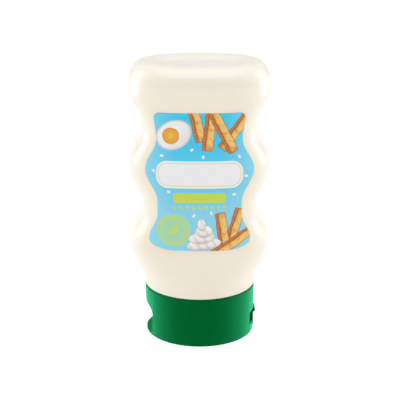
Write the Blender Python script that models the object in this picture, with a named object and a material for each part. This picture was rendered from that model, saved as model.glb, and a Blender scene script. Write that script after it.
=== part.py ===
"""Mayonnaise squeeze bottle that stands upside down on its shut flip-top cap.

Metres, +Z up. The origin is on the surface that the cap rests on, under the middle of the cap. The front
label faces -Y, the lid's thumb lip is at -X and its hinge at +X.
"""

from math import asin, cos, pi, radians, sin, sqrt

import bmesh
import bpy

MM = 0.001
GAP = 0.3 * MM

# Driving dimensions of the bottle
BOTTLE_TOP = 130.1 * MM
BULGE_HALF = 33.0 * MM
TOP_BULGE_HALF = 32.8 * MM
WAIST_HALF = 26.9 * MM
NECK_HALF = 26.0 * MM
PANEL_HALF_DEPTH = 27.3 * MM
TOP_HALF_DEPTH = 28.8 * MM

# Driving dimensions of the cap
SEAM = 23.0 * MM
CAP_TOP_RADIUS = 26.1 * MM
CAP_FOOT_RADIUS = 25.6 * MM

# The side outline: the heights where it turns, with the half width there
SIDE_TURNS = [
    (SEAM, NECK_HALF),
    (46.2 * MM, BULGE_HALF),
    (46.8 * MM, BULGE_HALF),
    (62.7 * MM, WAIST_HALF),
    (66.0 * MM, WAIST_HALF),
    (82.0 * MM, BULGE_HALF),
    (83.6 * MM, BULGE_HALF),
    (100.0 * MM, WAIST_HALF),
    (103.3 * MM, WAIST_HALF),
    (117.5 * MM, TOP_BULGE_HALF),
]

# The front and back outline, straight over the label panel
FRONT_TURNS = [
    (SEAM, NECK_HALF),
    (35.0 * MM, NECK_HALF),
    (48.5 * MM, PANEL_HALF_DEPTH),
    (109.0 * MM, PANEL_HALF_DEPTH),
    (118.5 * MM, TOP_HALF_DEPTH),
]

# Cross sections: a circle at the neck, then a squarer oval that is squarest at the waists
NECK_POWER = 2.0
BULGE_POWER = 2.5
WAIST_POWER = 3.1
ROUND_UP_TO = 26.0 * MM
OVAL_FROM = 46.0 * MM

# Rounded edges and the dished base, which is on top as the bottle stands
CORNER_HEIGHT = 9.5 * MM
CORNER_WIDTH = 7.2 * MM
CORNER_START = BOTTLE_TOP - CORNER_HEIGHT
NECK_EDGE_RADIUS = 1.1 * MM
STANDING_RING = 3.0 * MM
DISH_DEPTH = 1.4 * MM
DISH_WALL = 5.0 * MM

# The spigot that holds the bottle in the cap
SPIGOT_RADIUS = 24.0 * MM
SPIGOT_LENGTH = 2.7 * MM

# The cap's turned shape
CAP_POCKET_RADIUS = SPIGOT_RADIUS + GAP
CAP_POCKET_DEPTH = SPIGOT_LENGTH
CAP_TOP_BEVEL = 0.3 * MM
CAP_FOOT_BEVEL = 0.3 * MM
LID_POCKET_RADIUS = 23.4 * MM
LID_POCKET_DEPTH = 2.5 * MM
FLOOR_BORDER = 1.5 * MM

# The thumb scoop in the cap's side, at -X
SCOOP_FACE = 22.3 * MM
SCOOP_STRAIGHT_TO = 10.5 * MM
SCOOP_TOP = 15.2 * MM

# The windows beside the hinge, at +X
WINDOW_HALF_WIDTH = 9.7 * MM
WINDOW_TOP = 10.5 * MM
WINDOW_FACE = 22.2 * MM
STRAP_WINDOW_TOP = 11.2 * MM

# The flip lid
LID_RADIUS = LID_POCKET_RADIUS - GAP
LID_FOOT = 0.25 * MM
LID_TOP = LID_POCKET_DEPTH - GAP
LID_DISH_RADIUS = 19.0 * MM
LID_DISH_DEPTH = 0.6 * MM
LIP_SCOOP_RADIUS = 3.0 * MM
LIP_SCOOP_MIDDLE = 24.1 * MM
LIP_FLOOR = 0.45 * MM
HEEL_TOP = 4.3 * MM
STRAP_FOOT = 2.0 * MM
STRAP_HALF_WIDTH = 3.4 * MM
STRAP_THICKNESS = 1.5 * MM
STRAP_PROUD = 0.2 * MM
ROLL_RADIUS = 1.2 * MM
ROLL_HEIGHT = 9.6 * MM

# The labels: the heights where a label's edge turns, with its half width there
LABEL_BOTTOM = 47.8 * MM
LABEL_TOP = 110.9 * MM
LABEL_TURNS = [
    (LABEL_BOTTOM, 22.5 * MM),
    (52.4 * MM, 22.9 * MM),
    (64.6 * MM, 18.9 * MM),
    (70.5 * MM, 18.9 * MM),
    (84.6 * MM, 24.4 * MM),
    (99.0 * MM, 19.1 * MM),
    (LABEL_TOP, 20.4 * MM),
]
LABEL_TOP_CORNER = (1.8 * MM, 2.2 * MM)
LABEL_BOTTOM_CORNER = (11.0 * MM, 3.8 * MM)
LABEL_THICKNESS = 0.4 * MM

# How finely the shapes are divided
BOTTLE_SIDES = 60
BOTTLE_STEPS = 36
CORNER_STEPS = 8
DISH_STEPS = 4
EDGE_STEPS = 3
CAP_SIDES = 72
SCOOP_STEPS = 8
ARC_STEPS = 12
ROLL_STEPS = 20
LABEL_COLUMNS = 12
LABEL_ROWS = 22
SHARP_ANGLE = radians(35)

# Linear colours, and how rough each surface is
BOTTLE_COLOUR = (0.88, 0.82, 0.68, 1.0)
BOTTLE_ROUGHNESS = 0.35
CAP_COLOUR = (0.0, 0.2, 0.07, 1.0)
CAP_ROUGHNESS = 0.3
LABEL_COLOUR = (0.1, 0.55, 0.8, 1.0)
LABEL_ROUGHNESS = 0.4


def clear_scene():
    for item in list(bpy.data.objects):
        bpy.data.objects.remove(item, do_unlink=True)


def material(name, colour, roughness):
    made = bpy.data.materials.new(name)
    made.use_nodes = True
    shader = made.node_tree.nodes["Principled BSDF"]
    shader.inputs["Base Color"].default_value = colour
    shader.inputs["Roughness"].default_value = roughness
    shader.inputs["Metallic"].default_value = 0.0
    return made


def add_object(name, mesh_maker, look):
    """Turns a bmesh into a named object with outward faces and smooth shading on its round parts."""
    bmesh.ops.recalc_face_normals(mesh_maker, faces=mesh_maker.faces)
    mesh = bpy.data.meshes.new(name)
    mesh_maker.to_mesh(mesh)
    mesh_maker.free()
    mesh.materials.append(look)
    mesh.shade_smooth()
    mesh.set_sharp_from_angle(angle=SHARP_ANGLE)
    made = bpy.data.objects.new(name, mesh)
    bpy.context.scene.collection.objects.link(made)
    return made


def add_helper(name, mesh_maker, look):
    """A shape that only cuts or joins another one."""
    made = add_object(name, mesh_maker, look)
    made.hide_render = True
    made.display_type = "WIRE"
    return made


def combine(target, other, operation):
    change = target.modifiers.new(operation.lower() + " " + other.name, "BOOLEAN")
    change.object = other
    change.operation = operation
    change.solver = "EXACT"


def ease(part):
    """Runs smoothly from 0 to 1, level at both ends."""
    return (1 - cos(pi * min(max(part, 0.0), 1.0))) / 2


def outline_at(turns, height):
    """The half size at a height, easing from each turn of an outline to the next."""
    if height <= turns[0][0]:
        return turns[0][1]
    for (low, low_size), (high, high_size) in zip(turns, turns[1:]):
        if height <= high:
            return low_size + (high_size - low_size) * ease((height - low) / (high - low))
    return turns[-1][1]


def power_at(height):
    """The superellipse power of the cross section at a height."""
    squareness = (BULGE_HALF - outline_at(SIDE_TURNS, height)) / (BULGE_HALF - WAIST_HALF)
    oval = BULGE_POWER + (WAIST_POWER - BULGE_POWER) * min(squareness, 1.0)
    return NECK_POWER + (oval - NECK_POWER) * ease((height - ROUND_UP_TO) / (OVAL_FROM - ROUND_UP_TO))


def section(height, inset=0.0):
    """Half width, half depth and power of the body's cross section at a height."""
    half_width = outline_at(SIDE_TURNS, height) - inset
    half_depth = outline_at(FRONT_TURNS, height) - inset
    return half_width, half_depth, power_at(height)


def ring_points(height, half_width, half_depth, power):
    """One closed ring of the bottle, with its points at even angles about the axis."""
    points = []
    for step in range(BOTTLE_SIDES):
        angle = 2 * pi * step / BOTTLE_SIDES
        across = abs(cos(angle)) / half_width
        along = abs(sin(angle)) / half_depth
        radius = (across ** power + along ** power) ** (-1 / power)
        points.append((radius * cos(angle), radius * sin(angle), height))
    return points


def loft(mesh_maker, rings):
    """Joins rings of equal length with faces and closes both ends."""
    made = [[mesh_maker.verts.new(point) for point in ring] for ring in rings]
    count = len(made[0])
    for low, high in zip(made, made[1:]):
        for step in range(count):
            after = (step + 1) % count
            mesh_maker.faces.new((low[step], low[after], high[after], high[step]))
    mesh_maker.faces.new(list(reversed(made[0])))
    mesh_maker.faces.new(made[-1])


def bottle_rings():
    """The bottle's rings, from the spigot in the cap up to the dished base on top."""
    foot = SEAM + GAP
    spigot = (SPIGOT_RADIUS, SPIGOT_RADIUS, NECK_POWER)
    rings = [ring_points(SEAM - SPIGOT_LENGTH + GAP, *spigot), ring_points(foot, *spigot)]
    for step in range(EDGE_STEPS):
        turn = step / EDGE_STEPS * pi / 2
        height = foot + NECK_EDGE_RADIUS * (1 - cos(turn))
        rings.append(ring_points(height, *section(height, NECK_EDGE_RADIUS * (1 - sin(turn)))))
    start = foot + NECK_EDGE_RADIUS
    for step in range(BOTTLE_STEPS):
        height = start + (CORNER_START - start) * step / BOTTLE_STEPS
        rings.append(ring_points(height, *section(height)))
    for step in range(CORNER_STEPS + 1):
        turn = step / CORNER_STEPS * pi / 2
        height = CORNER_START + CORNER_HEIGHT * sin(turn)
        rings.append(ring_points(height, *section(height, CORNER_WIDTH * (1 - cos(turn)))))
    for step in range(DISH_STEPS + 1):
        part = step / DISH_STEPS
        height = BOTTLE_TOP - DISH_DEPTH * ease(part)
        inset = CORNER_WIDTH + STANDING_RING + DISH_WALL * part
        rings.append(ring_points(height, *section(BOTTLE_TOP, inset)))
    return rings


def make_bottle(look):
    mesh_maker = bmesh.new()
    loft(mesh_maker, bottle_rings())
    return add_object("bottle", mesh_maker, look)


def turned(mesh_maker, profile, sides):
    """Turns a profile of (radius, height) points about the axis and closes its first and last ring."""
    rings = []
    for radius, height in profile:
        angles = [2 * pi * step / sides for step in range(sides)]
        rings.append([(radius * cos(angle), radius * sin(angle), height) for angle in angles])
    loft(mesh_maker, rings)


def extruded_across(mesh_maker, outline, half_width):
    """A block with an (x, z) outline, from -half_width to +half_width along Y."""
    near = [mesh_maker.verts.new((x, -half_width, z)) for x, z in outline]
    far = [mesh_maker.verts.new((x, half_width, z)) for x, z in outline]
    count = len(outline)
    for step in range(count):
        after = (step + 1) % count
        mesh_maker.faces.new((near[step], near[after], far[after], far[step]))
    mesh_maker.faces.new(near)
    mesh_maker.faces.new(list(reversed(far)))


def extruded_up(mesh_maker, outline, low, high):
    """A block with an (x, y) outline between two heights."""
    loft(mesh_maker, [[(x, y, low) for x, y in outline], [(x, y, high) for x, y in outline]])


def cap_profile():
    """The cap's outer wall and its deck, with pockets for the bottle above and the lid below."""
    pocket_floor = SEAM - CAP_POCKET_DEPTH
    return [
        (LID_POCKET_RADIUS - FLOOR_BORDER, LID_POCKET_DEPTH),
        (LID_POCKET_RADIUS, LID_POCKET_DEPTH),
        (LID_POCKET_RADIUS, 0.0),
        (CAP_FOOT_RADIUS - CAP_FOOT_BEVEL, 0.0),
        (CAP_FOOT_RADIUS, CAP_FOOT_BEVEL),
        (CAP_TOP_RADIUS, SEAM - CAP_TOP_BEVEL),
        (CAP_TOP_RADIUS - CAP_TOP_BEVEL, SEAM),
        (CAP_POCKET_RADIUS, SEAM),
        (CAP_POCKET_RADIUS, pocket_floor),
        (CAP_POCKET_RADIUS - FLOOR_BORDER, pocket_floor),
    ]


def scoop_outline():
    """The thumb scoop from the front: upright above the lip, then a quarter oval out to the cap's wall."""
    outside = 2 * CAP_TOP_RADIUS
    outline = [(-outside, -LID_POCKET_DEPTH), (-SCOOP_FACE, -LID_POCKET_DEPTH)]
    for step in range(SCOOP_STEPS + 1):
        turn = step / SCOOP_STEPS * pi / 2
        reach = (CAP_TOP_RADIUS - SCOOP_FACE) * (1 - cos(turn))
        rise = (SCOOP_TOP - SCOOP_STRAIGHT_TO) * sin(turn)
        outline.append((-SCOOP_FACE - reach, SCOOP_STRAIGHT_TO + rise))
    outline.append((-outside, SCOOP_TOP))
    return outline


def window_block(mesh_maker, half_width, top):
    """A block that cuts the cap's wall away on the hinge side, up to a height."""
    outside = 2 * CAP_TOP_RADIUS
    low = -LID_POCKET_DEPTH
    corners = [(WINDOW_FACE, low), (outside, low), (outside, top), (WINDOW_FACE, top)]
    extruded_across(mesh_maker, corners, half_width)


def make_cap(look):
    mesh_maker = bmesh.new()
    turned(mesh_maker, cap_profile(), CAP_SIDES)
    cap = add_object("cap", mesh_maker, look)

    mesh_maker = bmesh.new()
    extruded_across(mesh_maker, scoop_outline(), CAP_TOP_RADIUS)
    combine(cap, add_helper("thumb_scoop_cutter", mesh_maker, look), "DIFFERENCE")

    mesh_maker = bmesh.new()
    window_block(mesh_maker, WINDOW_HALF_WIDTH, WINDOW_TOP)
    combine(cap, add_helper("hinge_window_cutter", mesh_maker, look), "DIFFERENCE")

    mesh_maker = bmesh.new()
    window_block(mesh_maker, STRAP_HALF_WIDTH + GAP, STRAP_WINDOW_TOP)
    combine(cap, add_helper("strap_window_cutter", mesh_maker, look), "DIFFERENCE")
    return cap


def lid_profile():
    """The lid's round plate, with a shallow dish in the face that looks down."""
    dish_top = LID_FOOT + LID_DISH_DEPTH
    return [
        (LID_DISH_RADIUS - FLOOR_BORDER, dish_top),
        (LID_DISH_RADIUS - LID_DISH_DEPTH, dish_top),
        (LID_DISH_RADIUS, LID_FOOT),
        (LID_RADIUS, LID_FOOT),
        (LID_RADIUS, LID_TOP),
        (LID_DISH_RADIUS, LID_TOP),
    ]


def arc_outline(radius, half_width, side, chord):
    """A slice of a disc seen from above, cut off straight at half_width to each side and at a chord in x."""
    half_angle = asin(half_width / radius)
    angles = [half_angle * (2 * step / ARC_STEPS - 1) for step in range(ARC_STEPS + 1)]
    points = [(side * radius * cos(angle), radius * sin(angle)) for angle in angles]
    points.append((side * chord, half_width))
    points.append((side * chord, -half_width))
    return points


def round_bar(mesh_maker, middle, height, radius, half_width, sides):
    """A round bar along Y."""
    angles = [2 * pi * step / sides for step in range(sides)]
    outline = [(middle + radius * cos(angle), height + radius * sin(angle)) for angle in angles]
    extruded_across(mesh_maker, outline, half_width)


def make_lip(look):
    """The slice of the lid that stands out to the cap's outer wall, hollowed on top for the thumb."""
    chord = SCOOP_FACE + GAP
    reach = sqrt(CAP_FOOT_RADIUS ** 2 - chord ** 2)
    mesh_maker = bmesh.new()
    extruded_up(mesh_maker, arc_outline(CAP_FOOT_RADIUS, reach, -1, chord), LID_FOOT, LID_TOP)
    lip = add_helper("lip_shape", mesh_maker, look)
    mesh_maker = bmesh.new()
    bar_height = LID_FOOT + LIP_FLOOR + LIP_SCOOP_RADIUS
    round_bar(mesh_maker, -LIP_SCOOP_MIDDLE, bar_height, LIP_SCOOP_RADIUS, CAP_FOOT_RADIUS, CAP_SIDES)
    combine(lip, add_helper("lip_scoop_cutter", mesh_maker, look), "DIFFERENCE")
    return lip


def make_heel(look):
    """The block on the lid's hinge side that fills the cap's wall under the windows."""
    mesh_maker = bmesh.new()
    outline = arc_outline(CAP_FOOT_RADIUS, WINDOW_HALF_WIDTH - GAP, 1, WINDOW_FACE + GAP)
    extruded_up(mesh_maker, outline, LID_FOOT, HEEL_TOP)
    return add_helper("heel_shape", mesh_maker, look)


def make_strap(look):
    """The upright hinge band that crosses the window."""
    outer = CAP_FOOT_RADIUS + STRAP_PROUD
    inner = outer - STRAP_THICKNESS
    mesh_maker = bmesh.new()
    corners = [(inner, STRAP_FOOT), (outer, STRAP_FOOT), (outer, ROLL_HEIGHT), (inner, ROLL_HEIGHT)]
    extruded_across(mesh_maker, corners, STRAP_HALF_WIDTH)
    return add_helper("strap_shape", mesh_maker, look)


def make_roll(look):
    """The rounded bead on the band's upper end, where the hinge bends."""
    mesh_maker = bmesh.new()
    round_bar(mesh_maker, CAP_FOOT_RADIUS, ROLL_HEIGHT, ROLL_RADIUS, STRAP_HALF_WIDTH - GAP, ROLL_STEPS)
    return add_helper("roll_shape", mesh_maker, look)


def make_flip_lid(look):
    """The shut lid: a plate, a thumb lip at -X and a heel, band and bead for the hinge at +X."""
    mesh_maker = bmesh.new()
    turned(mesh_maker, lid_profile(), CAP_SIDES)
    lid = add_object("flip_lid", mesh_maker, look)
    for make_shape in (make_lip, make_heel, make_strap, make_roll):
        combine(lid, make_shape(look), "UNION")
    return lid


def corner_inset(from_edge, corner):
    """How far a rounded corner of a (width, height) draws in the side, at a distance from the level edge."""
    width, height = corner
    into = max(1 - from_edge / height, 0.0)
    return width * (1 - sqrt(1 - into ** 2))


def label_half_width(height):
    """A label's half width at a height, with its corners rounded off."""
    top_inset = corner_inset(LABEL_TOP - height, LABEL_TOP_CORNER)
    bottom_inset = corner_inset(height - LABEL_BOTTOM, LABEL_BOTTOM_CORNER)
    return outline_at(LABEL_TURNS, height) - top_inset - bottom_inset


def skin_point(x, height, proud, side):
    """A point on the bottle's front (side -1) or back (side 1), moved out from it."""
    half_width, half_depth, power = section(height, -proud)
    depth = half_depth * (1 - (abs(x) / half_width) ** power) ** (1 / power)
    return (x, side * depth, height)


def make_label(name, side, look):
    """A thin sheet that follows the bottle, a hair off its skin."""
    mesh_maker = bmesh.new()
    sheets = []
    for proud in (GAP, GAP + LABEL_THICKNESS):
        rows = []
        for row in range(LABEL_ROWS + 1):
            height = LABEL_BOTTOM + (LABEL_TOP - LABEL_BOTTOM) * ease(row / LABEL_ROWS)
            reach = label_half_width(height)
            spots = [reach * (2 * step / LABEL_COLUMNS - 1) for step in range(LABEL_COLUMNS + 1)]
            rows.append([mesh_maker.verts.new(skin_point(x, height, proud, side)) for x in spots])
        sheets.append(rows)
        for low, high in zip(rows, rows[1:]):
            for step in range(LABEL_COLUMNS):
                mesh_maker.faces.new((low[step], low[step + 1], high[step + 1], high[step]))
    inner, outer = [rim_of(rows) for rows in sheets]
    for step in range(len(inner)):
        after = (step + 1) % len(inner)
        mesh_maker.faces.new((inner[step], inner[after], outer[after], outer[step]))
    return add_object(name, mesh_maker, look)


def rim_of(rows):
    """The corners round the edge of a grid, in order."""
    right = [row[-1] for row in rows[1:]]
    left = [row[0] for row in rows[1:-1]]
    return rows[0] + right + list(reversed(rows[-1][:-1])) + list(reversed(left))


def main():
    clear_scene()
    make_bottle(material("bottle_plastic", BOTTLE_COLOUR, BOTTLE_ROUGHNESS))
    cap_look = material("cap_plastic", CAP_COLOUR, CAP_ROUGHNESS)
    make_cap(cap_look)
    make_flip_lid(cap_look)
    label_look = material("label_film", LABEL_COLOUR, LABEL_ROUGHNESS)
    make_label("label_front", -1, label_look)
    make_label("label_back", 1, label_look)


main()
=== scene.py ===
"""Looks of the mayonnaise squeeze bottle: smooth pieces, materials, studio and camera round the fixed frame.

Metres, +Z up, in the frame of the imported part. The front label faces -Y.
"""

from math import asin, cos, pi, radians, sin, sqrt

import bmesh
import bpy
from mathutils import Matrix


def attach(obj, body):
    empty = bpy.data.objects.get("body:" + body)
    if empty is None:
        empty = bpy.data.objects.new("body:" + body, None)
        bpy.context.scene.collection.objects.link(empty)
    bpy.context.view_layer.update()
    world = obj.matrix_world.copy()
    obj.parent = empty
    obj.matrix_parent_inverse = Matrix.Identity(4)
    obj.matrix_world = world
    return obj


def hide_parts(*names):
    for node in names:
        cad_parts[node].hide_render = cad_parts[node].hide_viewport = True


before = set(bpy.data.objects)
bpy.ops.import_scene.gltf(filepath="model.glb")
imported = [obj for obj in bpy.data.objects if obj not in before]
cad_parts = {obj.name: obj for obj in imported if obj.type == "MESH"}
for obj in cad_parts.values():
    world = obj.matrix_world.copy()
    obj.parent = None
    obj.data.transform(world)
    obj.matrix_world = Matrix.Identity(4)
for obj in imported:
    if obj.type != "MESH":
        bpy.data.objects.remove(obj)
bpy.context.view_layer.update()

MM = 0.001
GAP = 0.3 * MM

# The bottle's sizes, as the solids have them
BOTTLE_TOP = 130.1 * MM
BULGE_HALF = 33.0 * MM
TOP_BULGE_HALF = 32.8 * MM
WAIST_HALF = 26.9 * MM
NECK_HALF = 26.0 * MM
PANEL_HALF_DEPTH = 27.3 * MM
TOP_HALF_DEPTH = 28.8 * MM
SEAM = 23.0 * MM
SIDE_TURNS = [
    (SEAM, NECK_HALF),
    (46.2 * MM, BULGE_HALF),
    (46.8 * MM, BULGE_HALF),
    (62.7 * MM, WAIST_HALF),
    (66.0 * MM, WAIST_HALF),
    (82.0 * MM, BULGE_HALF),
    (83.6 * MM, BULGE_HALF),
    (100.0 * MM, WAIST_HALF),
    (103.3 * MM, WAIST_HALF),
    (117.5 * MM, TOP_BULGE_HALF),
]
FRONT_TURNS = [
    (SEAM, NECK_HALF),
    (35.0 * MM, NECK_HALF),
    (48.5 * MM, PANEL_HALF_DEPTH),
    (109.0 * MM, PANEL_HALF_DEPTH),
    (118.5 * MM, TOP_HALF_DEPTH),
]
NECK_POWER = 2.0
BULGE_POWER = 2.5
WAIST_POWER = 3.1
ROUND_UP_TO = 26.0 * MM
OVAL_FROM = 46.0 * MM
CORNER_HEIGHT = 9.5 * MM
CORNER_WIDTH = 7.2 * MM
CORNER_START = BOTTLE_TOP - CORNER_HEIGHT
NECK_EDGE_RADIUS = 1.1 * MM
STANDING_RING = 3.0 * MM
DISH_DEPTH = 1.4 * MM
SPIGOT_RADIUS = 24.0 * MM
SPIGOT_LENGTH = 2.7 * MM

# The cap's and the lid's sizes, as the solids have them
CAP_TOP_RADIUS = 26.1 * MM
CAP_FOOT_RADIUS = 25.6 * MM
CAP_POCKET_RADIUS = SPIGOT_RADIUS + GAP
CAP_POCKET_DEPTH = SPIGOT_LENGTH
CAP_TOP_BEVEL = 0.3 * MM
CAP_FOOT_BEVEL = 0.3 * MM
LID_POCKET_RADIUS = 23.4 * MM
LID_POCKET_DEPTH = 2.5 * MM
FLOOR_BORDER = 1.5 * MM
SCOOP_FACE = 22.3 * MM
SCOOP_STRAIGHT_TO = 10.5 * MM
SCOOP_TOP = 15.2 * MM
WINDOW_HALF_WIDTH = 9.7 * MM
WINDOW_TOP = 10.5 * MM
WINDOW_FACE = 22.2 * MM
STRAP_WINDOW_TOP = 11.2 * MM
LID_RADIUS = LID_POCKET_RADIUS - GAP
LID_FOOT = 0.25 * MM
LID_TOP = LID_POCKET_DEPTH - GAP
LID_DISH_RADIUS = 19.0 * MM
LID_DISH_DEPTH = 0.6 * MM
LIP_SCOOP_RADIUS = 3.0 * MM
LIP_SCOOP_MIDDLE = 24.1 * MM
LIP_FLOOR = 0.45 * MM
HEEL_TOP = 4.3 * MM
STRAP_FOOT = 2.0 * MM
STRAP_HALF_WIDTH = 3.4 * MM
STRAP_THICKNESS = 1.5 * MM
STRAP_PROUD = 0.2 * MM
ROLL_RADIUS = 1.2 * MM
ROLL_HEIGHT = 9.6 * MM

# The labels' sizes: the solids' outline with rounder upper corners, on a film of real thickness
LABEL_BOTTOM = 47.8 * MM
LABEL_TOP = 110.9 * MM
LABEL_TURNS = [
    (LABEL_BOTTOM, 22.5 * MM),
    (52.4 * MM, 22.9 * MM),
    (64.6 * MM, 18.9 * MM),
    (70.5 * MM, 18.9 * MM),
    (84.6 * MM, 24.4 * MM),
    (99.0 * MM, 19.1 * MM),
    (LABEL_TOP, 20.4 * MM),
]
LABEL_TOP_CORNER = (2.8 * MM, 3.0 * MM)
LABEL_BOTTOM_CORNER = (11.0 * MM, 3.8 * MM)
LABEL_LIFT = 0.04 * MM
LABEL_THICKNESS = 0.1 * MM

# Fine details that the solids leave out, with a gentler wall to the dish and a narrower gap at the lip
DISH_WALL = 10.0 * MM
LIP_GAP = 0.03 * MM
PARTING_HEIGHT = 0.07 * MM
PARTING_HALF_WIDTH = 0.18 * MM
PINCH_HALF_LENGTH = 14.0 * MM
PINCH_HALF_WIDTH = 1.0 * MM
PINCH_HALF_HEIGHT = 0.34 * MM
PINCH_SUNK = 0.25 * MM
PINCH_TAPER_POWER = 6
PINCH_TIP = 0.02
EDGE_ROUNDING = 0.16 * MM

# How finely the pieces are divided
BOTTLE_SIDES = 180
BOTTLE_STEPS = 150
CORNER_STEPS = 22
DISH_STEPS = 16
EDGE_STEPS = 8
CAP_SIDES = 192
SCOOP_STEPS = 20
ARC_STEPS = 32
ROLL_STEPS = 32
LABEL_COLUMNS = 60
LABEL_ROWS = 120
PINCH_STEPS = 28
PINCH_SIDES = 10
PARTING_STEPS = (-2, -1, 1, 2)
EDGE_SEGMENTS = 3
SHARP_ANGLE = radians(35)

# Camera, fitted to the photograph: it looks along +Y and down
CAMERA_PLACE = (0.00017, -0.478, 0.2033)
CAMERA_DOWN = radians(16.27)
CAMERA_LENS = 95.0
SENSOR_WIDTH = 36.0


def rgb(red, green, blue):
    """A colour in linear light from its 0 to 255 screen values."""
    return tuple(screen_to_linear(value / 255) for value in (red, green, blue)) + (1.0,)


def screen_to_linear(value):
    """Undoes the sRGB curve."""
    if value <= 0.04045:
        return value / 12.92
    return ((value + 0.055) / 1.055) ** 2.4


# Shader node helpers


def add_node(tree, kind, **settings):
    made = tree.nodes.new(kind)
    for name, value in settings.items():
        setattr(made, name, value)
    return made


def feed(tree, socket, value):
    """Links a socket, or sets a plain value, on a node's input."""
    if isinstance(value, bpy.types.NodeSocket):
        tree.links.new(value, socket)
    else:
        socket.default_value = value


def maths(tree, operation, *values, clamp=False):
    made = add_node(tree, "ShaderNodeMath", operation=operation, use_clamp=clamp)
    for socket, value in zip(made.inputs, values):
        feed(tree, socket, value)
    return made.outputs["Value"]


def vector_maths(tree, operation, *values):
    made = add_node(tree, "ShaderNodeVectorMath", operation=operation)
    for socket, value in zip(made.inputs, values):
        feed(tree, socket, value)
    return made.outputs["Value" if operation == "LENGTH" else "Vector"]


def mix_colours(tree, share, below, above):
    made = add_node(tree, "ShaderNodeMix", data_type="RGBA")
    feed(tree, made.inputs["Factor"], share)
    feed(tree, made.inputs["A"], below)
    feed(tree, made.inputs["B"], above)
    return made.outputs["Result"]


def spread(tree, value, low, high, to_low, to_high):
    """Maps a range of a value to another range, held at both ends."""
    made = add_node(tree, "ShaderNodeMapRange")
    names = ("Value", "From Min", "From Max", "To Min", "To Max")
    for name, setting in zip(names, (value, low, high, to_low, to_high)):
        feed(tree, made.inputs[name], setting)
    return made.outputs["Result"]


def tinted(tree, colour, pattern, reach, tint):
    """Mixes in a tint by a pattern. A reach is the pattern's low and high and the tint's share at each."""
    return mix_colours(tree, spread(tree, pattern, *reach), colour, tint)


def separated(tree, vector):
    """A vector's parts, by the names X, Y and Z."""
    made = add_node(tree, "ShaderNodeSeparateXYZ")
    feed(tree, made.inputs["Vector"], vector)
    return made.outputs


def split(tree, vector):
    """A vector's parts across and up."""
    parts = separated(tree, vector)
    return parts["X"], parts["Y"]


def ramp(tree, value, stops):
    """A colour from a list of (place, colour) stops."""
    made = add_node(tree, "ShaderNodeValToRGB")
    elements = made.color_ramp.elements
    while len(elements) < len(stops):
        elements.new(1.0)
    for element, (place, colour) in zip(elements, stops):
        element.position = place
        element.color = colour
    feed(tree, made.inputs["Fac"], value)
    return made.outputs["Color"]


def noise(tree, where, scale, detail=2.0):
    made = add_node(tree, "ShaderNodeTexNoise")
    feed(tree, made.inputs["Vector"], where)
    feed(tree, made.inputs["Scale"], scale)
    feed(tree, made.inputs["Detail"], detail)
    return made.outputs["Fac"]


def bump(tree, height, distance, below=None):
    made = add_node(tree, "ShaderNodeBump")
    feed(tree, made.inputs["Height"], height)
    feed(tree, made.inputs["Distance"], distance)
    if below is not None:
        feed(tree, made.inputs["Normal"], below)
    return made.outputs["Normal"]


def new_material(name):
    """A material with its node tree, its shader and the object's own coordinates."""
    made = bpy.data.materials.new(name)
    made.use_nodes = True
    tree = made.node_tree
    shader = tree.nodes["Principled BSDF"]
    where = add_node(tree, "ShaderNodeTexCoord").outputs["Object"]
    return made, tree, shader, where


def set_values(shader, values):
    """Plain values on the shader's own sockets, by name."""
    for name, value in values.items():
        shader.inputs[name].default_value = value


def finish_surface(tree, shader, where, gloss, relief):
    """Roughness by a noise's scale and two values, and relief in layers of scale, detail and height."""
    scale, smoothest, roughest = gloss
    patches = noise(tree, where, scale)
    feed(tree, shader.inputs["Roughness"], spread(tree, patches, *GLOSS_PATCHES, smoothest, roughest))
    normal = None
    for scale, detail, height in relief:
        normal = bump(tree, noise(tree, where, scale, detail), height, normal)
    feed(tree, shader.inputs["Normal"], normal)


# Materials

WHITE = (1.0, 1.0, 1.0, 1.0)
GLOSS_PATCHES = (0.3, 0.7)
MAYONNAISE = rgb(244, 231, 211)
MAYONNAISE_WARM = rgb(241, 226, 201)
# Painted top light: a paler colour mixed into the body from 112 mm up to the top
MAYONNAISE_PAINTED_TOP_LIGHT = rgb(248, 240, 226)
MAYONNAISE_CLOUD = (38.0, 3.0)
WARM_REACH = (0.35, 0.65, 0.0, 1.0)
PAINTED_TOP_LIGHT_REACH = (112.0 * MM, BOTTLE_TOP, 0.0, 0.8)
BOTTLE_GLOSS = (130.0, 0.3, 0.4)
BOTTLE_RELIEF = [(210.0, 1.0, 0.03 * MM), (2400.0, 1.0, 0.002 * MM)]
BOTTLE_VALUES = {
    "Subsurface Weight": 0.35,
    "Subsurface Radius": (1.0, 0.8, 0.5),
    "Subsurface Scale": 3.0 * MM,
    "IOR": 1.5,
    "Coat Weight": 0.6,
    "Coat Roughness": 0.07,
}
GREEN = rgb(0, 78, 20)
GREEN_DEEP = rgb(0, 72, 16)
GREEN_SHINE = (0.0, 1.0, 0.42, 1.0)
GREEN_CLOUD = (60.0, 2.0)
CAP_GLOSS = (300.0, 0.4, 0.5)
CAP_RELIEF = [(160.0, 1.0, 0.02 * MM), (5200.0, 2.0, 0.004 * MM)]
CAP_VALUES = {
    "Specular IOR Level": 0.06,
    "Specular Tint": GREEN_SHINE,
    "Sheen Weight": 1.0,
    "Sheen Roughness": 0.5,
    "Sheen Tint": GREEN_SHINE,
}
LABEL_GLOSS = (240.0, 0.3, 0.42)
LABEL_RELIEF = [(180.0, 1.0, 0.02 * MM)]
LABEL_VALUES = {
    "Specular IOR Level": 0.3,
    "Coat Weight": 0.2,
    "Coat Roughness": 0.12,
}


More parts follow.
